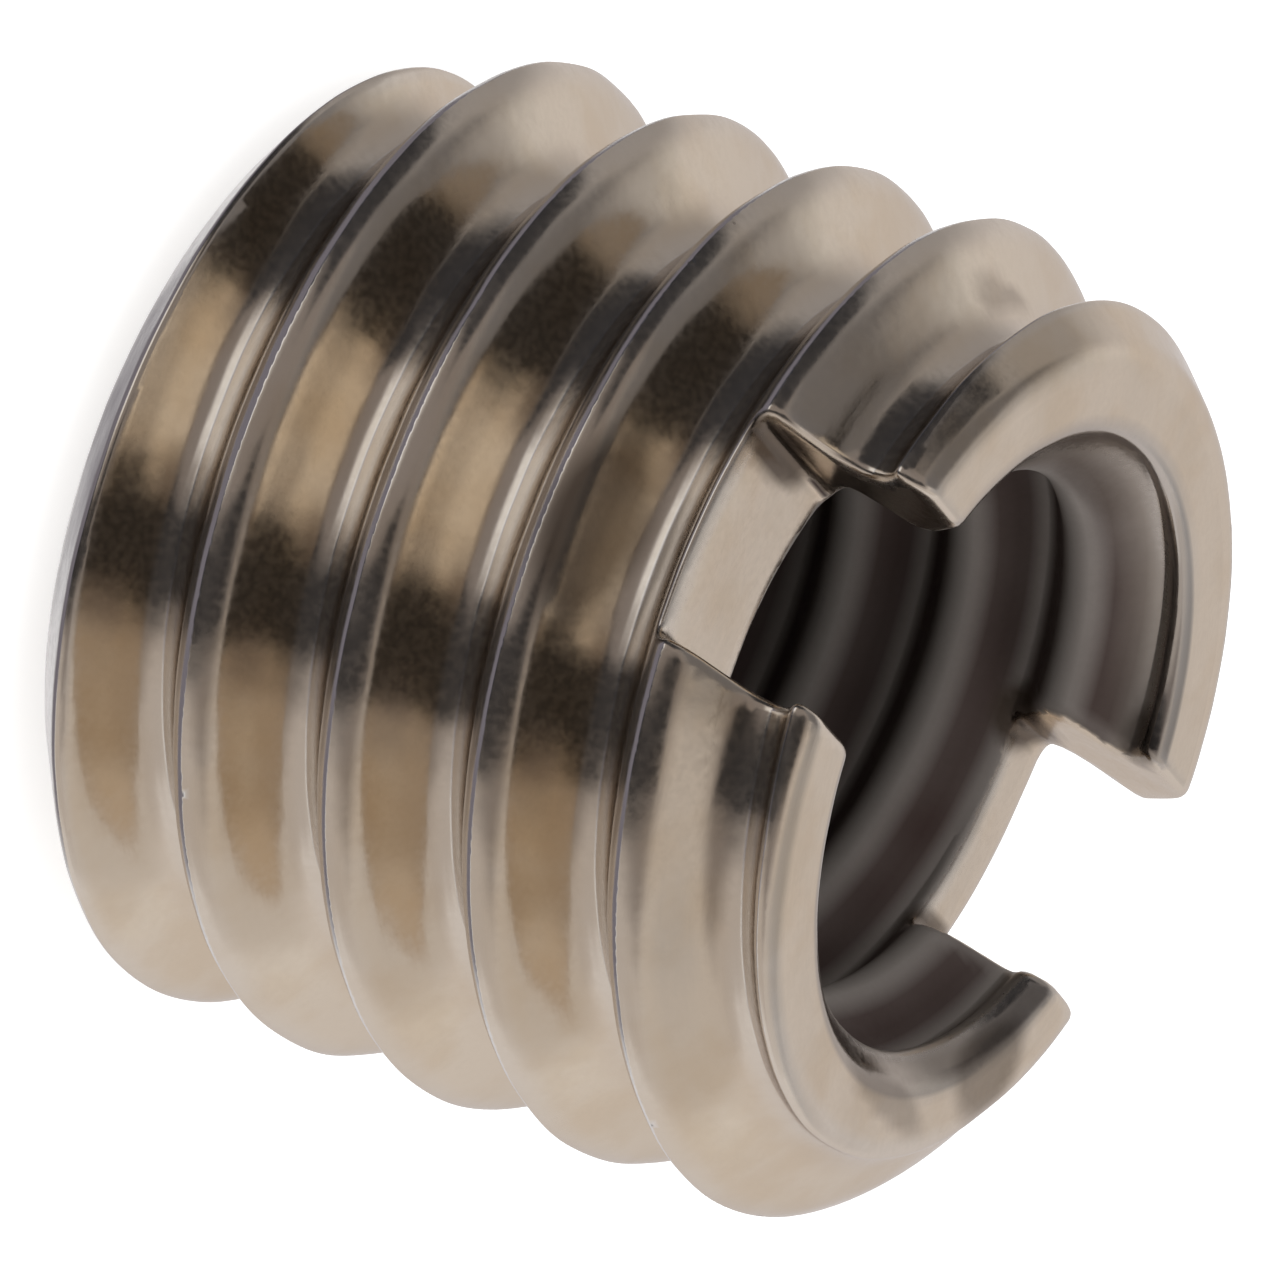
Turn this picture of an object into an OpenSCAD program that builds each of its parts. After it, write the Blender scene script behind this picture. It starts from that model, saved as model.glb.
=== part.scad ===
// Thread reducing bushing: a 3/8 inch 16-turn thread outside, a 1/4 inch 20-turn
// thread inside, turned from one piece of bar and nickel plated.
// It stands on its plain end, and the screwdriver slot is cut across its top end.
// The inner thread is left as its tapping bore.

/* [Body] */
// Length from the plain end to the slotted end
body_len = 8.1; // [5:0.1:16]
// Diameter of the bore that the inner thread is cut in
bore_d = 5.25; // [4:0.05:5.8]
// Diameter of the countersink at its mouth, both ends
mouth_d = 6.35; // [6:0.05:7]

/* [Outer thread] */
// Diameter over the crests
major_d = 9.5; // [9:0.05:14]
// Rise of the thread in one turn
pitch = 1.5875; // [1.1:0.0125:2.1]
// Radial depth from crest to root
thread_depth = 0.88; // [0.4:0.02:0.9]
// Flat along the crest
crest_w = 0.24; // [0.1:0.01:0.3]
// Flat along the root
root_w = 0.4; // [0.2:0.01:0.5]
// How far each corner of the thread form is broken
corner_break = 0.06; // [0.01:0.01:0.06]
// Angle at which a crest crosses the plain end, from the slot's line
thread_start = 110; // [0:1:359]

/* [End chamfers] */
// Diameter of the flat face at the slotted end
slot_face_d = 8; // [7.6:0.1:8.6]
// Length of the chamfer at the slotted end, measured along the axis
slot_chamfer_len = 0.9; // [0.3:0.1:1.2]
// Diameter of the flat face at the plain end
plain_face_d = 7.7; // [7.6:0.1:8.6]
// Length of the chamfer at the plain end, measured along the axis
plain_chamfer_len = 0.7; // [0.3:0.1:1.2]

/* [Screwdriver slot] */
// Width of the slot
slot_w = 2.26; // [1:0.02:3]
// Depth of the slot below the top face
slot_depth = 1.6; // [0.6:0.1:2.4]
// How far the saw ran off the axis, towards +Y
slot_shift = 0.06; // [-0.2:0.02:0.2]
// Radius that the saw's worn corners leave along the slot's floor
slot_corner_r = 0.12; // [0.02:0.02:0.3]

/* [Hidden] */
$fn = 96;
// How far a cutter runs past the face that it opens
OVERRUN = 1;
// Straight steps in one turn of the outer thread
TURN_STEPS = 60;
MAJOR_R = major_d / 2;
// The countersink's sides meet at a right angle, so it is as deep as it is wide
MOUTH_DEPTH = (mouth_d - bore_d) / 2;

// The thread form over one pitch, as [height along the axis, depth below the crest].
// It climbs from the middle of one crest, over the root, to the next crest.
FLANK_TOP = [crest_w / 2, 0];
FLANK_FOOT = [(pitch - root_w) / 2, thread_depth];
FLANK_DIR = (FLANK_FOOT - FLANK_TOP) / norm(FLANK_FOOT - FLANK_TOP);
HALF_FORM = [
    FLANK_TOP - [corner_break, 0],
    FLANK_TOP + corner_break * FLANK_DIR,
    FLANK_FOOT - corner_break * FLANK_DIR,
    FLANK_FOOT + [corner_break, 0],
];
FORM = concat(HALF_FORM, [for (i = [3:-1:0]) [pitch - HALF_FORM[i][0], HALF_FORM[i][1]]]);
FORM_N = len(FORM);

// Two turns lie below the plain end and one above the slotted end, to be cut off square
SPARE_BELOW = 2;
TURNS = ceil(body_len / pitch) + SPARE_BELOW + 2;
STEPS = TURNS * TURN_STEPS;

// Number of the vertex at point m of the form, after j steps along the helix
function at(m, j) = j * FORM_N + m;

function helix_point(m, j) =
    let (
        turn = j / TURN_STEPS,
        r = MAJOR_R - FORM[m][1],
        a = thread_start + 360 * turn
    )
    [r * cos(a), r * sin(a), (turn - SPARE_BELOW) * pitch + FORM[m][0]];

// One long right-hand thread, closed at each end by a fan round a point on the axis
module endless_thread() {
    points = [for (j = [0:STEPS], m = [0:FORM_N - 1]) helix_point(m, j)];
    low_centre = len(points);
    high_centre = low_centre + 1;
    form_faces = [for (j = [0:STEPS - 1], m = [0:FORM_N - 2])
        each [[at(m, j), at(m + 1, j), at(m + 1, j + 1)], [at(m, j), at(m + 1, j + 1), at(m, j + 1)]]];
    last = FORM_N - 1;
    join_faces = [for (j = [0:STEPS - TURN_STEPS - 1])
        let (up = j + TURN_STEPS)
        each [[at(last, j), at(0, up), at(0, up + 1)], [at(last, j), at(0, up + 1), at(last, j + 1)]]];
    low_rim = concat([for (j = [0:TURN_STEPS]) at(0, j)], [for (m = [last:-1:1]) at(m, 0)]);
    high_rim = concat([for (j = [STEPS - TURN_STEPS:STEPS]) at(last, j)], [for (m = [last - 1:-1:0]) at(m, STEPS)]);
    low_faces = [for (i = [0:len(low_rim) - 1])
        [low_centre, low_rim[i], low_rim[(i + 1) % len(low_rim)]]];
    high_faces = [for (i = [0:len(high_rim) - 1])
        [high_centre, high_rim[(i + 1) % len(high_rim)], high_rim[i]]];
    low_z = (0.5 - SPARE_BELOW) * pitch;
    high_z = (TURNS - SPARE_BELOW - 0.5) * pitch;
    polyhedron(
        points = concat(points, [[0, 0, low_z], [0, 0, high_z]]),
        faces = concat(form_faces, join_faces, low_faces, high_faces),
        convexity = 10
    );
}

// The bar's outline: flat faces and a chamfer at each end, which trim the thread.
// Its sides stand clear of the crests, so only the ends cut.
module chamfered_bar() {
    side_gap = 0.5;
    low_slope = (MAJOR_R - plain_face_d / 2) / plain_chamfer_len;
    high_slope = (MAJOR_R - slot_face_d / 2) / slot_chamfer_len;
    rotate_extrude()
    polygon([
        [0, 0],
        [plain_face_d / 2, 0],
        [MAJOR_R + side_gap, plain_chamfer_len + side_gap / low_slope],
        [MAJOR_R + side_gap, body_len - slot_chamfer_len - side_gap / high_slope],
        [slot_face_d / 2, body_len],
        [0, body_len]
    ]);
}

module bore() {
    translate([0, 0, -OVERRUN])
    cylinder(h = body_len + 2 * OVERRUN, d = bore_d);
}

// A cone that opens downwards, with its mouth on the plain end
module countersink() {
    translate([0, 0, -OVERRUN])
    cylinder(h = OVERRUN + MOUTH_DEPTH, r1 = mouth_d / 2 + OVERRUN, r2 = bore_d / 2);
}

// The saw's cut across the slot: square above, with a round at each foot of its walls
module slot_outline() {
    r = slot_corner_r;
    translate([-slot_w / 2, r]) square([slot_w, slot_depth - r + OVERRUN]);
    translate([-slot_w / 2 + r, 0]) square([slot_w - 2 * r, slot_depth]);
    for (side = [-1, 1])
        translate([side * (slot_w / 2 - r), r]) circle(r = r, $fn = 24);
}

module screwdriver_slot() {
    slot_run = major_d + 2 * OVERRUN;
    translate([-slot_run / 2, slot_shift, body_len - slot_depth])
    rotate([90, 0, 90])
    linear_extrude(slot_run) slot_outline();
}

module threaded_bushing() {
    color([0.74, 0.70, 0.65])
    difference() {
        intersection() {
            endless_thread();
            chamfered_bar();
        }
        bore();
        countersink();
        translate([0, 0, body_len]) mirror([0, 0, 1]) countersink();
        screwdriver_slot();
    }
}

threaded_bushing();
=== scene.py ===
"""Looks of the threaded bushing: its true threads, its sawn slot and its nickel plating.

The whole bushing is one closed surface. Its walls are grids of angle and height that follow
the helix of each thread, and the slot is sawn out of it. Every corner is then rounded by
moving the points on to one smooth skin, which a formula describes.
"""

import math

import bmesh
import bpy
import numpy as np
from mathutils import Matrix, Vector


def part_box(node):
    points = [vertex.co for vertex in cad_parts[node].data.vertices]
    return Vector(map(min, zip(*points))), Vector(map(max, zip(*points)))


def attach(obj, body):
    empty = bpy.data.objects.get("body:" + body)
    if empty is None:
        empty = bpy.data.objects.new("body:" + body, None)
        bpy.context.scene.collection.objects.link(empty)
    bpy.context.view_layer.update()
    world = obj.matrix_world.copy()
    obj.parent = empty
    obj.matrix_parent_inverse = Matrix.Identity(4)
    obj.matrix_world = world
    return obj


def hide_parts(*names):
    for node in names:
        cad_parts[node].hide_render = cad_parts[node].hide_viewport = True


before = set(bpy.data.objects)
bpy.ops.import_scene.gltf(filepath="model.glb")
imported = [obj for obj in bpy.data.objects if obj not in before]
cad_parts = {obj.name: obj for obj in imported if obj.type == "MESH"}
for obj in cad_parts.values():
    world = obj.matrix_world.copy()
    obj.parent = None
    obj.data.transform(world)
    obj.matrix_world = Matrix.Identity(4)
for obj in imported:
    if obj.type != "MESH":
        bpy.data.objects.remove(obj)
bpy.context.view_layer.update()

MM = 0.001
TURN = 2 * math.pi
node_low, node_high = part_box("threaded_bushing")

# ---------------------------------------------------------------- sizes, in millimetres
LENGTH = (node_high.z - node_low.z) / MM
CREST_R = min(node_high.x, node_high.y) / MM
MAJOR_PITCH = 1.5875
MAJOR_DEPTH = 0.88
CREST_LAND = 0.22
ROOT_LAND = 0.36
CREST_ROUND = 0.28
ROOT_ROUND = 0.34
# Angle from the slot's line at which a crest crosses the plain end
MAJOR_START = math.radians(110)

MINOR_PITCH = 1.27
MINOR_R = 2.63
MINOR_DEPTH = 0.53
MINOR_CREST_LAND = 0.26
MINOR_GROOVE_LAND = 0.12
MINOR_ROUND = 0.14
# Depth below the slotted end at which an inner crest crosses the slot's line
MINOR_START = 1.08

SLOT_FACE_R = 4.0
SLOT_CHAMFER = 0.90
PLAIN_FACE_R = 3.85
PLAIN_CHAMFER = 0.70
MOUTH_R = 3.17

SLOT_W = 2.26
SLOT_SHIFT = 0.06
SLOT_DEPTH = 1.60
SLOT_FOOT_R = 0.17

# Widths over which neighbouring surfaces melt into each other: at most corners, round the
# end faces, between the inner thread and its countersinks, and along the slot
EDGE_MELT = 0.085
FACE_MELT = 0.13
MOUTH_MELT = 0.14
SLOT_MELT = 0.13
# Height, length and greatest reach of the shallow waves that turning and plating leave
UNEVEN = 0.0035
WAVE_LENGTH = 0.9
WAVE_REACH = 1.3
# Slope of a thread's flank, which turns a radial distance into a distance from the flank
THREAD_LEAN = 0.55
# Own light of the floor where it is seen, so that it reads as white
FLOOR_GLOW = 0.70

# Dark spots of stain and painted shade: the three in the slot are painted shade in its corners
# and at its far end, and the others darken the places they name. For each: its middle, its half
# size along x, y and z, and its strength. They reach a little past their half size, and fade over
# the last part of it
SPOT_REACH = 1.15
SPOT_FADE = 0.4
STAINS_AND_PAINTED_SHADE = {
    "last turn": ((-4.35, -0.28, 5.43), (0.65, 1.0, 0.45), 0.78),
    "far end of the slot floor": ((3.4, -1.02, 6.5), (0.7, 0.26, 0.2), 0.85),
    "far corner of the slot": ((3.0, 1.2, 6.58), (0.55, 0.32, 0.32), 0.90),
    "near foot of the slot": ((-3.88, 1.08, 6.52), (0.80, 0.24, 0.18), 0.90),
    "countersink by the slot": ((2.80, 1.27, 7.82), (0.40, 0.40, 0.20), 0.62),
    "countersink away from it": ((0.0, 2.72, 7.66), (0.90, 0.30, 0.22), 0.36),
    "rim of the lower ear": ((0.8, -3.12, 8.1), (1.0, 0.22, 0.2), 0.40),
    "rim towards the slot": ((2.45, -2.10, 8.1), (0.62, 0.62, 0.2), 0.60),
    "run-out": ((-1.85, 3.70, 6.84), (0.60, 0.30, 0.10), 0.38),
}

# ---------------------------------------------------------------- how finely it is drawn
COLUMNS = 208
MAJOR_ROWS = 28
MINOR_ROWS = 18
FACE_ROWS = 8
SLOT_STEP = 0.12
# An edge across which the skin turns further than this is split, unless it is this short
WIDEST_TURN = math.radians(19)
SHORTEST_EDGE = 0.016
# Points closer than these are merged: in the blank, in the saw's path and once it is sawn
BLANK_WELD = 0.002
PATH_WELD = 0.0001
SAWN_WELD = 0.012
# Edges shorter than these are collapsed, one pass for each
SLIVERS = (0.006, 0.009)
# A face folds over when it looks this little along the skin's own slope
LEAST_FACING = 0.3
# Depth below the skin at which its height is read to tell corners, and what it then differs by
CORNER_PROBE = 0.10
CORNER_LEAST = 0.012
CORNER_SPAN = 0.03


def soft_min(a, b, width):
    """The lesser of a and b, blended by a parabola where they are closer than width."""
    h = np.maximum(width - np.abs(a - b), 0) / width
    return np.minimum(a, b) - h * h * width / 4


def soft_max(a, b, width):
    """The greater of a and b, blended by a parabola where they are closer than width."""
    return -soft_min(-a, -b, width)


def from_crest(angle, z, start_turns, pitch):
    """Distance along the axis to the nearest crest of a right-hand helix."""
    phase = z / pitch - angle / TURN + start_turns
    return np.abs((phase + 0.5) % 1 - 0.5) * pitch


def major_radius(angle, z):
    """Outer thread: the crest's radius less a straight flank, which is cut off flat at crest
    and root, with both corners rounded."""
    along = from_crest(angle, z, MAJOR_START / TURN, MAJOR_PITCH)
    run = (MAJOR_PITCH - CREST_LAND - ROOT_LAND) / 2
    flank = CREST_R - (along - CREST_LAND / 2) * MAJOR_DEPTH / run
    return soft_max(soft_min(flank, CREST_R, CREST_ROUND), CREST_R - MAJOR_DEPTH, ROOT_ROUND)


def minor_radius(angle, z):
    """Inner thread: the crest's radius plus a straight flank, cut off flat at the crest and
    at the bottom of the groove, with both corners rounded."""
    along = from_crest(angle, z, -(LENGTH - MINOR_START) / MINOR_PITCH, MINOR_PITCH)
    run = (MINOR_PITCH - MINOR_CREST_LAND - MINOR_GROOVE_LAND) / 2
    flank = MINOR_R + (along - MINOR_CREST_LAND / 2) * MINOR_DEPTH / run
    return soft_min(soft_max(flank, MINOR_R, MINOR_ROUND), MINOR_R + MINOR_DEPTH, MINOR_ROUND)


def chamfer_radius(z):
    """The two end cones: each face's radius plus the cone's slope times the height from it."""
    high = SLOT_FACE_R + (LENGTH - z) * (CREST_R - SLOT_FACE_R) / SLOT_CHAMFER
    low = PLAIN_FACE_R + z * (CREST_R - PLAIN_FACE_R) / PLAIN_CHAMFER
    return high, low


def waves(p, wavelength, seed):
    """Soft unevenness from -1 to 1: a mean of sines along fixed directions in space."""
    rng = np.random.default_rng(seed)
    count = 9
    direction = rng.normal(size=(count, 3))
    direction /= np.linalg.norm(direction, axis=1)[:, None]
    number = TURN / (wavelength * rng.uniform(0.7, 1.6, count))
    shift = rng.uniform(0, TURN, count)
    return np.sin(p @ (direction * number[:, None]).T + shift).mean(axis=1) * 2


def skin(p):
    """Height above the bushing's skin, below zero inside the metal, in millimetres.
    It is the soft maximum of one height for each surface: outer thread, two outer cones, two
    faces, inner thread, two countersinks and the slot. A height is the radial or axial
    distance, scaled by the cosine of the surface's slope."""
    x, y, z = p.T
    r = np.hypot(x, y)
    angle = np.arctan2(y, x)
    wave = np.clip(waves(p, WAVE_LENGTH, 5), -WAVE_REACH, WAVE_REACH)
    uneven = UNEVEN * (WAVE_REACH + wave)
    high, low = chamfer_radius(z)
    high_lean = 1 / math.hypot(1, (CREST_R - SLOT_FACE_R) / SLOT_CHAMFER)
    low_lean = 1 / math.hypot(1, (CREST_R - PLAIN_FACE_R) / PLAIN_CHAMFER)
    thread = (r - major_radius(angle, z)) * THREAD_LEAN
    body = soft_max((r - high) * high_lean, thread, EDGE_MELT)
    body = soft_max(body, (r - low) * low_lean, EDGE_MELT)
    body = soft_max(body, z - LENGTH, FACE_MELT)
    body = soft_max(body, -z, FACE_MELT)
    hole = (minor_radius(angle, z) - r) * THREAD_LEAN
    hole = soft_max(hole, (MOUTH_R - (LENGTH - z) - r) * math.sqrt(0.5), MOUTH_MELT)
    hole = soft_max(hole, (MOUTH_R - z - r) * math.sqrt(0.5), MOUTH_MELT)
    body = soft_max(body, hole, EDGE_MELT)
    aside = np.abs(y - SLOT_SHIFT) - (SLOT_W / 2 - SLOT_FOOT_R)
    under = (LENGTH - SLOT_DEPTH + SLOT_FOOT_R) - z
    saw = SLOT_FOOT_R - np.where(
        (aside > 0) & (under > 0), np.hypot(aside, under), np.maximum(aside, under))
    return soft_max(body, saw, SLOT_MELT) + uneven


def slope(p, step=0.002):
    """Gradient of the skin's height, by central differences."""
    out = np.empty_like(p)
    for axis in range(3):
        shift = np.zeros(3)
        shift[axis] = step
        out[:, axis] = (skin(p + shift) - skin(p - shift)) / (2 * step)
    return out


def unit(v):
    return v / np.linalg.norm(v, axis=1)[:, None]


def settle(p, rounds=5, limit=0.05):
    """Moves points along the slope until the skin's height there is nothing."""
    for _ in range(rounds):
        g = slope(p)
        move = -skin(p)[:, None] * g / np.maximum((g * g).sum(axis=1), 0.15)[:, None]
        size = np.linalg.norm(move, axis=1)[:, None]
        p = p + move * np.minimum(1, limit / np.maximum(size, 1e-9))
    return p


def thread_phases(rows, radius_at, pitch):
    """Heights of the rows over one pitch, spaced evenly along the thread form."""
    z = np.linspace(0, pitch, 2001)
    r = radius_at(0.0 * z, z)
    length = np.hypot(np.diff(z), np.diff(r))
    bend = np.abs(np.gradient(np.gradient(r, z), z))[1:]
    way = np.concatenate([[0], np.cumsum(length * (1 + 0.35 * np.minimum(bend, 6)))])
    return np.interp(np.arange(rows) / rows * way[-1], way, z)


def thread_wall(radius_at, rows, pitch):
    """A threaded wall as a grid: row i climbs one pitch in one turn, and its height is held
    between the two ends. Past the last column a row goes on as the row one pitch above."""
    phases = thread_phases(rows, radius_at, pitch)
    turns = int(math.ceil(LENGTH / pitch)) + 1
    base = (np.arange(-1, turns)[:, None] * pitch + phases[None]).ravel()
    angle = np.arange(COLUMNS) * TURN / COLUMNS
    z = np.clip(base[:, None] + pitch * angle[None] / TURN, 0, LENGTH)
    angle = np.broadcast_to(angle[None], z.shape)
    r = radius_at(angle, z)
    points = np.stack([r * np.cos(angle), r * np.sin(angle), z], axis=-1)
    count = len(base)
    index = np.arange(count * COLUMNS).reshape(count, COLUMNS)
    onward = index[np.minimum(np.arange(count) + rows, count - 1), 0]
    index = np.concatenate([index, onward[:, None]], axis=1)
    return points, index


def end_face(outer_ring, inner_ring):
    """A flat ring as a grid: straight lines from the outer edge to the bore's mouth."""
    t = np.linspace(0, 1, FACE_ROWS)[:, None, None]
    points = outer_ring[None] * (1 - t) + inner_ring[None] * t
    index = np.arange(FACE_ROWS * COLUMNS).reshape(FACE_ROWS, COLUMNS)
    return points, np.concatenate([index, index[:, :1]], axis=1)


def grid_faces(index, outward=True):
    """Four-cornered faces between neighbouring rows and columns of a grid of vertex numbers."""
    a, b, c, d = index[:-1, :-1], index[:-1, 1:], index[1:, 1:], index[1:, :-1]
    faces = np.stack([a, b, c, d], axis=-1).reshape(-1, 4)
    return faces if outward else faces[:, ::-1]


def outer_edge(angle, z):
    """Outer wall's radius: the least of the thread and the two cones."""
    high, low = chamfer_radius(z)
    return np.minimum(np.minimum(major_radius(angle, z), high), low)


def bore_edge(angle, z):
    """Bore's radius: the greatest of the inner thread and the two countersinks."""
    sink = np.maximum(MOUTH_R - (LENGTH - z), MOUTH_R - z)
    return np.maximum(minor_radius(angle, z), sink)


def blank_mesh():
    """The bushing before its slot is sawn, as one closed mesh."""
    outer, outer_index = thread_wall(outer_edge, MAJOR_ROWS, MAJOR_PITCH)
    inner, inner_index = thread_wall(bore_edge, MINOR_ROWS, MINOR_PITCH)
    top, top_index = end_face(outer[-1], inner[-1])
    foot, foot_index = end_face(outer[0], inner[0])
    parts = [(outer, outer_index, True), (top, top_index, True),
             (inner, inner_index, False), (foot, foot_index, False)]
    points, faces, offset = [], [], 0
    for grid, index, outward in parts:
        points.append(grid.reshape(-1, 3))
        faces.append(grid_faces(index + offset, outward))
        offset += points[-1].shape[0]
    return np.concatenate(points), np.concatenate(faces)


def slot_cutter_mesh():
    """The saw's path: a U outline of small steps, carried along the slot's line."""
    half = SLOT_W / 2
    floor = LENGTH - SLOT_DEPTH
    top = LENGTH + 0.4
    wall_z = np.arange(floor + SLOT_FOOT_R + SLOT_STEP, top, SLOT_STEP)
    bend = np.linspace(0, math.pi / 2, 7)
    foot_y = half - SLOT_FOOT_R + SLOT_FOOT_R * np.sin(bend)
    foot_z = floor + SLOT_FOOT_R - SLOT_FOOT_R * np.cos(bend)
    flat_y = np.linspace(0, half - SLOT_FOOT_R, 12)[:-1]
    side_y = np.concatenate([flat_y, foot_y, np.full(len(wall_z), half), [half]])
    side_z = np.concatenate([np.full(len(flat_y), floor), foot_z, wall_z, [top]])
    y = np.concatenate([-side_y[:0:-1], side_y]) + SLOT_SHIFT
    z = np.concatenate([side_z[:0:-1], side_z])
    x = np.arange(-CREST_R - 0.3, CREST_R + 0.3 + SLOT_STEP, SLOT_STEP)
    grid = np.stack(np.broadcast_arrays(x[:, None], y[None], z[None]), axis=-1)
    index = np.arange(grid.shape[0] * grid.shape[1]).reshape(grid.shape[:2])
    ring = np.concatenate([index, index[:, :1]], axis=1)
    ends = [list(index[0][::-1]), list(index[-1])]
    return grid.reshape(-1, 3), grid_faces(ring, False).tolist() + ends


def new_object(name, points, faces):
    mesh = bpy.data.meshes.new(name)
    mesh.from_pydata((points * MM).tolist(), [], [list(f) for f in faces])
    mesh.validate()
    obj = bpy.data.objects.new(name, mesh)
    bpy.context.scene.collection.objects.link(obj)
    return obj


def weld(mesh, gap):
    """Merges points closer than gap, in metres, and drops the faces that vanish."""
    bm = bmesh.new()
    bm.from_mesh(mesh)
    bmesh.ops.remove_doubles(bm, verts=bm.verts, dist=gap)
    bmesh.ops.recalc_face_normals(bm, faces=bm.faces)
    bm.to_mesh(mesh)
    bm.free()


def saw_slot(obj, cutter):
    """Cuts the slot out of the blank, then discards the cutter."""
    cut = obj.modifiers.new("sawn slot", "BOOLEAN")
    cut.operation = "DIFFERENCE"
    cut.solver = "EXACT"
    cut.object = cutter
    depsgraph = bpy.context.evaluated_depsgraph_get()
    sawn = bpy.data.meshes.new_from_object(obj.evaluated_get(depsgraph))
    obj.modifiers.clear()
    obj.data = sawn
    bpy.data.objects.remove(cutter)


def mesh_points(mesh):
    flat = np.empty(len(mesh.vertices) * 3)
    mesh.vertices.foreach_get("co", flat)
    return flat.reshape(-1, 3) / MM


def settle_mesh(mesh, rounds=5):
    """Settles a mesh's points on the skin, and gives them back in millimetres."""
    points = settle(mesh_points(mesh), rounds)
    mesh.vertices.foreach_set("co", (points * MM).ravel())
    return points


def folded_faces(bm, normals):
    """Numbers of the faces that look away from the skin's slope at their corners, and the
    corners of every face."""
    corners = np.array([[v.index for v in f.verts] for f in bm.faces])
    facing = np.array([f.normal for f in bm.faces])
    along = (normals[corners].mean(axis=1) * facing).sum(axis=1)
    return np.nonzero(along < LEAST_FACING)[0], corners


def refine_corners(mesh):
    """Splits the edges across which the skin turns too far, and settles the new points."""
    bm = bmesh.new()
    bm.from_mesh(mesh)
    bmesh.ops.triangulate(bm, faces=bm.faces)
    for _ in range(3):
        points = settle(np.array([v.co for v in bm.verts]) / MM)
        normals = unit(slope(points))
        ends = np.array([(e.verts[0].index, e.verts[1].index) for e in bm.edges])
        turn = (normals[ends[:, 0]] * normals[ends[:, 1]]).sum(axis=1)
        span = np.linalg.norm(points[ends[:, 0]] - points[ends[:, 1]], axis=1)
        pick = np.nonzero((turn < math.cos(WIDEST_TURN)) & (span > SHORTEST_EDGE))[0]
        bm.edges.ensure_lookup_table()
        bmesh.ops.subdivide_edges(bm, edges=[bm.edges[i] for i in pick], cuts=1)
        bmesh.ops.triangulate(bm, faces=bm.faces)
        bm.verts.index_update()
    bm.to_mesh(mesh)
    bm.free()


def collapse_slivers(mesh, gap):
    """Collapses edges shorter than gap, in metres, turns the diagonals of folded pairs, and
    drops the fins: faces that hang on by one side."""
    bm = bmesh.new()
    bm.from_mesh(mesh)
    bmesh.ops.dissolve_degenerate(bm, dist=gap, edges=bm.edges)
    bmesh.ops.triangulate(bm, faces=bm.faces)
    bm.verts.index_update()
    normals = unit(slope(np.array([v.co for v in bm.verts]) / MM))
    folded, _ = folded_faces(bm, normals)
    bm.faces.ensure_lookup_table()
    near = {g for i in folded for v in bm.faces[i].verts for g in v.link_faces}
    edges = {e for f in near for e in f.edges if all(g in near for g in e.link_faces)}
    bmesh.ops.beautify_fill(bm, faces=list(near), edges=list(edges), method="AREA")
    fins = [f for f in bm.faces if sum(len(e.link_faces) == 1 for e in f.edges) > 1]
    bmesh.ops.delete(bm, geom=fins, context="FACES")
    bm.to_mesh(mesh)
    bm.free()


def relax_folds(mesh, rounds=4):
    """Settles the points, then smooths those of the folded faces, over and over."""
    for _ in range(rounds):
        points = settle_mesh(mesh, 2)
        bm = bmesh.new()
        bm.from_mesh(mesh)
        bm.normal_update()
        folded, corners = folded_faces(bm, unit(slope(points)))
        bm.verts.ensure_lookup_table()
        loose = [bm.verts[i] for i in np.unique(corners[folded])]
        bmesh.ops.smooth_vert(bm, verts=loose, factor=0.7,
                              use_axis_x=True, use_axis_y=True, use_axis_z=True)
        bm.to_mesh(mesh)
        bm.free()


def build_bushing():
    """The blank, sawn, refined at its corners and settled, with its masks and normals."""
    points, faces = blank_mesh()
    obj = new_object("nickel_bushing", points, faces)
    weld(obj.data, BLANK_WELD * MM)
    cutter = new_object("saw_path", *slot_cutter_mesh())
    weld(cutter.data, PATH_WELD * MM)
    saw_slot(obj, cutter)
    weld(obj.data, SAWN_WELD * MM)
    refine_corners(obj.data)
    for gap in SLIVERS:
        settle_mesh(obj.data)
        collapse_slivers(obj.data, gap * MM)
        relax_folds(obj.data)
    settled = settle_mesh(obj.data)
    normals = unit(slope(settled))
    set_masks(obj.data, settled, normals)
    obj.data.shade_smooth()
    obj.data.normals_split_custom_set_from_vertices(normals.tolist())
    obj.data.update()
    return obj


def stains_and_painted_shade(points):
    """Dark spots of stain and of painted shade, each a soft-edged ellipsoid; the strongest counts."""
    out = np.zeros(len(points))
    for middle, half, strength in STAINS_AND_PAINTED_SHADE.values():
        away = np.linalg.norm((points - np.array(middle)) / np.array(half), axis=1)
        out = np.maximum(out, strength * np.clip((SPOT_REACH - away) / SPOT_FADE, 0, 1))
    return out


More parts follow.
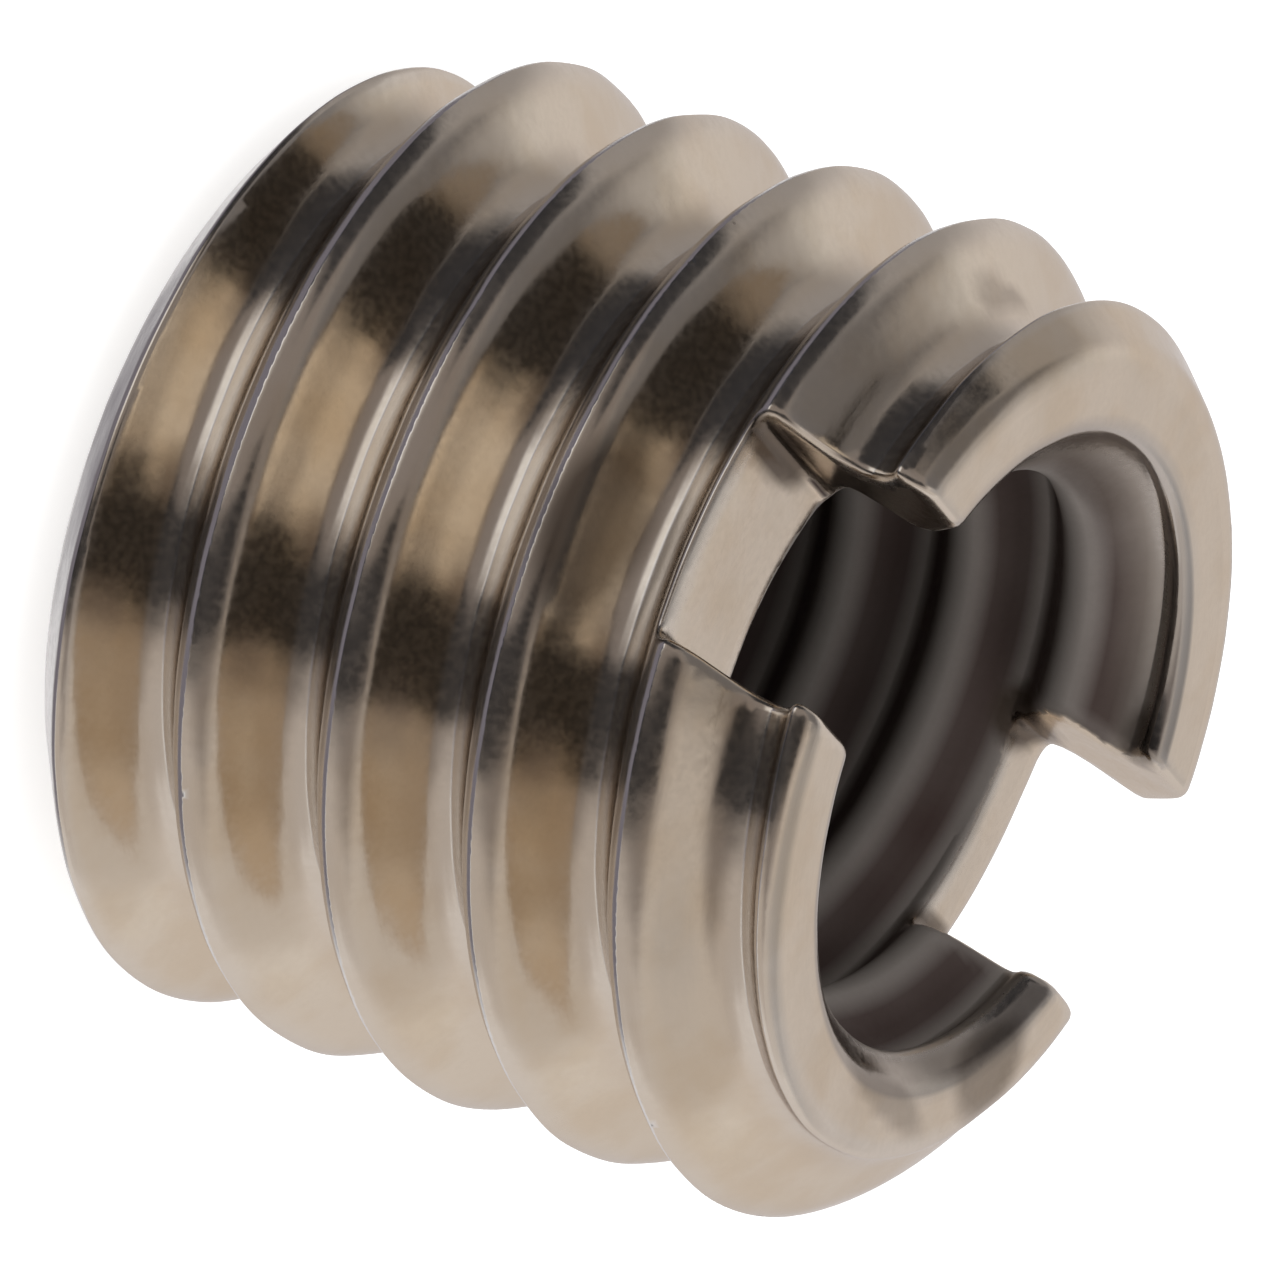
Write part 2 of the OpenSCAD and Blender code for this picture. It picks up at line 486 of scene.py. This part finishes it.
def set_masks(mesh, points, normals):
    """Per-point masks for the finish, each from 0 to 1: how deep in a groove a point lies,
    whether it is in the bore or at its mouth, whether it faces down in the outer thread,
    whether the saw cut it, how much stain and painted shade it has, and whether it is on a corner."""
    x, y, z = points.T
    r = np.hypot(x, y)
    angle = np.arctan2(y, x)
    across = np.abs(y - SLOT_SHIFT)
    sawn_wall = (np.abs(across - SLOT_W / 2) < 0.03) & (z > LENGTH - SLOT_DEPTH)
    sawn_floor = (np.abs(z - (LENGTH - SLOT_DEPTH)) < 0.03) & (across < SLOT_W / 2)
    sawn = (sawn_wall | sawn_floor).astype(float)
    toward_axis = -(normals[:, 0] * x + normals[:, 1] * y) / r
    inside = np.clip((MOUTH_R + 0.18 - r) / 0.08, 0, 1) * np.clip(toward_axis * 5, 0, 1)
    inside = inside * (1 - sawn)
    # In the bore: the painted shade there follows this mask
    bore = inside * np.clip((np.minimum(z, LENGTH - z) - 0.15) / 0.45, 0, 1)
    below_crest = np.clip((CREST_R - r) / MAJOR_DEPTH, 0, 1) * (1 - inside)
    beyond_crest = np.clip((r - MINOR_R) / MINOR_DEPTH, 0, 1) * inside
    sharp = np.abs(skin(points - CORNER_PROBE * normals) + CORNER_PROBE)
    masks = {
        "groove": below_crest + beyond_crest,
        "bore": bore,
        "mouth": inside,
        # Faces down: the painted highlight under the turns follows this mask
        "under": np.clip(-4 * normals[:, 2], 0, 1) * (r > MOUTH_R + 0.4),
        "sawn": sawn,
        # Stains, and painted shade in the slot's corners and at its far end
        "stains_and_painted_shade": stains_and_painted_shade(points),
        "corner": np.clip((sharp - CORNER_LEAST) / CORNER_SPAN, 0, 1),
    }
    for name, values in masks.items():
        layer = mesh.attributes.new(name, "FLOAT", "POINT")
        layer.data.foreach_set("value", values)


# ---------------------------------------------------------------- shader node groups
def new_group(name, inputs, outputs):
    """A shader node group with named inputs, given as {name: value}, where None stands for a
    vector, and named outputs, given as {name: socket type}."""
    group = bpy.data.node_groups.new(name, "ShaderNodeTree")
    for label, value in inputs.items():
        kind = "NodeSocketFloat"
        if isinstance(value, tuple):
            kind = "NodeSocketColor"
        if value is None:
            kind = "NodeSocketVector"
        socket = group.interface.new_socket(label, in_out="INPUT", socket_type=kind)
        if value is not None:
            socket.default_value = value
    for label, kind in outputs.items():
        group.interface.new_socket(label, in_out="OUTPUT", socket_type=kind)
    return group


class Wiring:
    """Short calls for adding nodes to one tree and linking them."""

    def __init__(self, tree):
        self.tree = tree

    def node(self, kind, links=None, **settings):
        made = self.tree.nodes.new(kind)
        for label, value in settings.items():
            setattr(made, label, value)
        for label, source in (links or {}).items():
            self.feed(made.inputs[label], source)
        return made

    def feed(self, socket, source):
        if isinstance(source, bpy.types.NodeSocket):
            self.tree.links.new(source, socket)
        else:
            socket.default_value = source

    def math(self, operation, a, b=0.0):
        return self.node("ShaderNodeMath", {0: a, 1: b}, operation=operation).outputs[0]

    def share(self, value, part):
        return self.math("MULTIPLY", value, part)

    def noise(self, vector, scale, detail=2.0, roughness=0.5):
        links = {"Vector": vector, "Scale": scale, "Detail": detail, "Roughness": roughness}
        return self.node("ShaderNodeTexNoise", links).outputs["Fac"]

    def ramp(self, value, low, high, out_low=0.0, out_high=1.0):
        """Straight change from out_low to out_high while value goes from low to high."""
        links = {"Value": value, "From Min": low, "From Max": high}
        links.update({"To Min": out_low, "To Max": out_high})
        return self.node("ShaderNodeMapRange", links, interpolation_type="SMOOTHSTEP").outputs[0]

    def blend(self, factor, a, b, mode="MIX"):
        made = self.node("ShaderNodeMix", data_type="RGBA", blend_type=mode)
        self.feed(made.inputs["Factor"], factor)
        self.feed(made.inputs[6], a)
        self.feed(made.inputs[7], b)
        return made.outputs[2]

    def attribute(self, name):
        return self.node("ShaderNodeAttribute", attribute_name=name).outputs["Fac"]


def turned_grain_group():
    """Fine rings that a turning tool leaves: noise that is long round the axis and short
    along it, read at (angle x radius, height, radius) in millimetres."""
    inputs = {"Position": None, "Fineness": 9.0, "Stretch": 0.06}
    group = new_group("turned grain", inputs, {"Height": "NodeSocketFloat"})
    w = Wiring(group)
    source = w.node("NodeGroupInput").outputs
    split = w.node("ShaderNodeSeparateXYZ", {0: source["Position"]}).outputs
    angle = w.math("ARCTAN2", split["Y"], split["X"])
    radius = w.math("SQRT", w.math("ADD", w.math("MULTIPLY", split["X"], split["X"]),
                                   w.math("MULTIPLY", split["Y"], split["Y"])))
    around = w.math("MULTIPLY", w.math("MULTIPLY", angle, 4.0), source["Stretch"])
    place = w.node("ShaderNodeCombineXYZ", {
        "X": around, "Y": w.math("DIVIDE", split["Z"], MM), "Z": w.math("DIVIDE", radius, MM)})
    grain = w.noise(place.outputs[0], source["Fineness"], 3.0, 0.6)
    w.node("NodeGroupOutput", {"Height": grain})
    return group


def mottle_group():
    """Uneven plating: two sizes of soft noise, for its colour and for its haze."""
    inputs = {"Position": None, "Patch Size": 900.0, "Grain Size": 9000.0}
    outputs = {"Patches": "NodeSocketFloat", "Grain": "NodeSocketFloat"}
    group = new_group("uneven plating", inputs, outputs)
    w = Wiring(group)
    source = w.node("NodeGroupInput").outputs
    patches = w.noise(source["Position"], source["Patch Size"], 3.0, 0.55)
    grain = w.noise(source["Position"], source["Grain Size"], 2.0, 0.6)
    w.node("NodeGroupOutput", {"Patches": patches, "Grain": grain})
    return group


def pits_group():
    """Small dark pits and specks: the cores of a few cells of a Voronoi pattern."""
    inputs = {"Position": None, "Density": 1400.0, "Size": 0.05}
    group = new_group("pits and specks", inputs, {"Mask": "NodeSocketFloat"})
    w = Wiring(group)
    source = w.node("NodeGroupInput").outputs
    cells = w.node("ShaderNodeTexVoronoi", {"Vector": source["Position"], "Scale": source["Density"]})
    split = w.node("ShaderNodeSeparateXYZ", {0: cells.outputs["Color"]}).outputs
    chosen = w.math("GREATER_THAN", split["X"], 0.86)
    core = w.ramp(cells.outputs["Distance"], 0.0, source["Size"], 1.0, 0.0)
    w.node("NodeGroupOutput", {"Mask": w.math("MULTIPLY", chosen, core)})
    return group


def nickel_material(groups):
    """Nickel plate: polished but a little hazy, warm, dull in the bore and painted dark brown there
    as its shade, with a painted highlight under the turns for the camera, bright on worn corners,
    with stains and painted shade in places, and fine turning rings."""
    material = bpy.data.materials.new("nickel_plate")
    material.use_nodes = True
    w = Wiring(material.node_tree)
    surface = material.node_tree.nodes["Principled BSDF"]
    place = w.node("ShaderNodeTexCoord").outputs["Object"]
    groove = w.attribute("groove")
    bore = w.attribute("bore")
    mouth = w.attribute("mouth")
    corner = w.attribute("corner")
    sawn = w.attribute("sawn")
    stains_and_painted_shade = w.attribute("stains_and_painted_shade")
    under = w.attribute("under")
    straight = w.node("ShaderNodeLightPath").outputs["Is Camera Ray"]

    def use(name, **values):
        made = w.node("ShaderNodeGroup", node_tree=groups[name])
        w.feed(made.inputs["Position"], place)
        for label, value in values.items():
            w.feed(made.inputs[label.replace("_", " ")], value)
        return made.outputs

    plating = use("uneven plating", Patch_Size=900.0, Grain_Size=12000.0)
    rings = use("turned grain", Fineness=9.0, Stretch=0.10)["Height"]
    ripple = w.noise(place, 3000.0, 1.0, 0.5)
    specks = use("pits and specks")["Mask"]

    silver = (0.705, 0.615, 0.50, 1)
    warm = (0.67, 0.565, 0.435, 1)
    brown = (0.30, 0.20, 0.145, 1)
    # Near white: the painted highlight on the undersides of the turns
    painted_highlight_white = (0.93, 0.94, 0.96, 1)
    mouth_grey = (0.34, 0.307, 0.275, 1)
    # Near black: painted shade for the inside of the bore
    bore_painted_shade = (0.062, 0.036, 0.032, 1)
    # Near black: the colour of the stains and of the painted shade in the slot
    stain_and_shade_colour = (0.075, 0.053, 0.038, 1)
    soot = (0.10, 0.07, 0.055, 1)
    bright = (0.74, 0.70, 0.65, 1)
    # Painted highlight: downward faces of the turns are lit up near white in the base colour, for
    # camera rays only
    underside_painted_highlight = w.math("MULTIPLY", under, straight)
    layers = [
        (w.ramp(plating["Patches"], 0.40, 0.66), warm),
        (w.share(w.ramp(groove, 0.6, 1.0), 0.08), brown),
        (w.share(underside_painted_highlight, 0.85), painted_highlight_white),
        (w.share(mouth, 0.8), mouth_grey),
        # Painted shade: the bore is made near black in its base colour
        (w.share(bore, 0.96), bore_painted_shade),
        (w.share(corner, 0.4), bright),
        # Stains, and painted shade in the slot's corners and at its far end
        (stains_and_painted_shade, stain_and_shade_colour),
        (w.share(specks, 0.8), soot),
    ]
    tone = silver
    for cover, colour in layers:
        tone = w.blend(cover, tone, colour)
    w.feed(surface.inputs["Base Color"], tone)
    w.feed(surface.inputs["Metallic"], w.ramp(bore, 0.0, 1.0, 1.0, 0.45))
    surface.inputs["Specular Tint"].default_value = (0.82, 0.80, 0.79, 1)
    surface.inputs["Specular IOR Level"].default_value = 0.2

    haze = w.ramp(plating["Grain"], 0.3, 0.7, 0.12, 0.20)
    for mask, rougher in ((bore, 0.42), (sawn, 0.06), (corner, 0.05), (specks, 0.4)):
        haze = w.math("ADD", haze, w.share(mask, rougher))
    w.feed(surface.inputs["Roughness"], haze)

    height = w.math("ADD", w.share(rings, 0.5), w.share(plating["Grain"], 0.3))
    height = w.math("ADD", height, w.share(ripple, 2.0))
    height = w.math("SUBTRACT", height, w.share(specks, 0.8))
    bump = w.node("ShaderNodeBump", {"Height": height, "Strength": 0.35, "Distance": 0.004 * MM})
    w.feed(surface.inputs["Normal"], bump.outputs[0])
    return material


# ---------------------------------------------------------------- studio
def card_material(name, colour):
    """Plain light of one colour that fades out towards the card's border."""
    material = bpy.data.materials.new(name)
    material.use_nodes = True
    tree = material.node_tree
    tree.nodes.remove(tree.nodes["Principled BSDF"])
    w = Wiring(tree)
    glow = w.node("ShaderNodeEmission", {"Color": (*colour, 1), "Strength": 1.0})
    clear = w.node("ShaderNodeBsdfTransparent")
    shaders = {0: w.attribute("cover"), 1: clear.outputs[0], 2: glow.outputs[0]}
    mixed = w.node("ShaderNodeMixShader", shaders)
    w.feed(tree.nodes["Material Output"].inputs["Surface"], mixed.outputs[0])
    return material


def seen_rays(w):
    """1 for rays from the camera and from the metal's reflections, otherwise 0."""
    path = w.node("ShaderNodeLightPath").outputs
    mirrored = w.math("MAXIMUM", path["Is Glossy Ray"], path["Is Transmission Ray"])
    return w.math("MAXIMUM", path["Is Camera Ray"], mirrored)


def bent_card(name, toward, across, along, distance, colour, fade):
    """A card bent round the bushing. It is a patch of a sphere: along sweeps from the azimuth
    toward, over the zenith, and across leans sideways from that sweep, all in degrees. It
    fades to nothing over the given degrees inside its border, and the camera doesn't see it."""
    steps = 48
    lean = np.radians(np.linspace(*across, steps))[None]
    climb = np.radians(np.linspace(*along, steps))[:, None]
    ahead = np.array([math.cos(math.radians(toward)), math.sin(math.radians(toward)), 0])
    aside = np.array([-ahead[1], ahead[0], 0])
    upward = np.array([0, 0, 1])
    grid = (np.cos(lean) * np.cos(climb))[..., None] * ahead
    grid = grid + (np.cos(lean) * np.sin(climb))[..., None] * upward
    grid = grid + (np.sin(lean) + 0 * climb)[..., None] * aside
    grid = grid * distance / MM
    grid[..., 2] += LENGTH / 2
    index = np.arange(steps * steps).reshape(steps, steps)
    card = new_object(name, grid.reshape(-1, 3), grid_faces(index, False))
    inside = np.minimum(np.minimum(lean - lean.min(), lean.max() - lean),
                        np.minimum(climb - climb.min(), climb.max() - climb))
    cover = np.clip(np.degrees(inside) / fade, 0, 1)
    cover = cover * cover * (3 - 2 * cover)
    layer = card.data.attributes.new("cover", "FLOAT", "POINT")
    layer.data.foreach_set("value", cover.ravel())
    card.data.materials.append(card_material(name, colour))
    card.visible_camera = False
    card.visible_shadow = False
    card.visible_diffuse = False


def white_world():
    """A white room: strength 1 where it is seen, straight or in the metal, and a plain
    level for the light it gives."""
    world = bpy.data.worlds.new("white room")
    bpy.context.scene.world = world
    world.use_nodes = True
    w = Wiring(world.node_tree)
    back = world.node_tree.nodes["Background"]
    back.inputs["Color"].default_value = (1, 1, 1, 1)
    w.feed(back.inputs["Strength"], w.ramp(seen_rays(w), 0.0, 1.0, 0.8, 1.0))


def pale_floor():
    """A pale floor under the plain end. Where it is seen it is white by its own light, less
    the object's shadow, which falls on the plain white surface under that light."""
    half = 3.0 / MM
    corners = np.array([(-half, -half, 0), (half, -half, 0), (half, half, 0), (-half, half, 0)])
    corners[:, 2] = -0.01
    floor = new_object("pale_floor", corners, [(0, 1, 2, 3)])
    material = bpy.data.materials.new("pale_floor")
    material.use_nodes = True
    tree = material.node_tree
    w = Wiring(tree)
    surface = tree.nodes["Principled BSDF"]
    surface.inputs["Base Color"].default_value = (0.9, 0.9, 0.9, 1)
    surface.inputs["Roughness"].default_value = 0.9
    surface.inputs["Specular IOR Level"].default_value = 0.0
    surface.inputs["Emission Color"].default_value = (1, 1, 1, 1)
    w.feed(surface.inputs["Emission Strength"], w.share(seen_rays(w), FLOOR_GLOW))
    floor.data.materials.append(material)
    floor.visible_glossy = False


def painted_shade_disc():
    """A dark disc of painted shade that shuts the bore's lower end, for reflections only. It stands
    for the shaded floor under the bore.
    """
    angle = np.arange(48) * TURN / 48
    rim = np.stack([3.7 * np.cos(angle), 3.7 * np.sin(angle), 0 * angle - 0.005], axis=-1)
    stop = new_object("painted_shade_disc", rim, [tuple(range(48))])
    stop.data.materials.append(plain_dark("painted_shade_disc", (0.02, 0.015, 0.012)))
    stop.visible_camera = False
    stop.visible_diffuse = False
    stop.visible_shadow = False


def plain_dark(name, colour):
    material = bpy.data.materials.new(name)
    material.use_nodes = True
    surface = material.node_tree.nodes["Principled BSDF"]
    surface.inputs["Base Color"].default_value = (*colour, 1)
    surface.inputs["Roughness"].default_value = 1.0
    surface.inputs["Specular IOR Level"].default_value = 0.0
    return material


def studio():
    white_world()
    pale_floor()
    painted_shade_disc()
    bent_card("overhead_silk", 17, (-95, 89), (39, 228), 0.50, (0.65, 0.615, 0.60), 12)
    bent_card("side_silk", -120, (-33, 55), (-38, 60), 0.48, (0.57, 0.53, 0.51), 21)
    bent_card("back_silk", -8, (-79, 79), (-48, 47), 0.47, (0.80, 0.775, 0.785), 20)
    bent_card("back_top", 22, (-38, 53), (22, 91), 0.465, (0.48, 0.477, 0.498), 22)
    bent_card("grey_wall", 87, (-43, 42), (-71, 55), 0.46, (0.375, 0.36, 0.365), 22)
    bent_card("warm_wall", 197, (-73, 51), (-27, 96), 0.44, (0.27, 0.242, 0.235), 22)
    bent_card("low_wall", 169, (-26, 29), (-64, 16), 0.435, (0.93, 0.925, 0.94), 17)
    bent_card("table_shade", -4, (-66, 66), (-155, -37), 0.42, (0.185, 0.168, 0.19), 22)
    bent_card("high_flag", 101, (-40, 18), (28, 96), 0.40, (0.175, 0.17, 0.18), 15)
    bent_card("left_flag", -135, (-26, 11), (-59, 78), 0.34, (0.034, 0.033, 0.036), 7)
    bent_card("right_flag", 134, (-43, 11), (-59, 45), 0.32, (0.035, 0.035, 0.040), 7)


def portrait_camera():
    """A long lens at the viewing angle: the bushing lies over to the right, so the camera is
    rolled. Its right, up and back directions are in the bushing's own frame."""
    right = Vector((0.32384, 0.43570, 0.83982)).normalized()
    back = right.cross(Vector((-0.37119, 0.87499, -0.31082))).normalized()
    up = back.cross(right)
    distance = 0.329
    lens = 998.2
    middle = Vector((0, 0, LENGTH / 2 * MM))
    data = bpy.data.cameras.new("camera")
    camera = bpy.data.objects.new("camera", data)
    bpy.context.scene.collection.objects.link(camera)
    placed = Matrix((right, up, back)).transposed().to_4x4()
    placed.translation = middle + back * distance + right * 0.03 * MM - up * 0.11 * MM
    camera.matrix_world = placed
    data.lens = lens
    data.sensor_width = 36
    data.clip_start = 0.01
    data.clip_end = 50
    bpy.context.scene.camera = camera


portrait_camera()
studio()
groups = {"turned grain": turned_grain_group(), "uneven plating": mottle_group(),
          "pits and specks": pits_group()}
bushing = build_bushing()
bushing.data.materials.append(nickel_material(groups))
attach(bushing, "root")
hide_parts("threaded_bushing")
bpy.context.scene.view_settings.view_transform = "Standard"
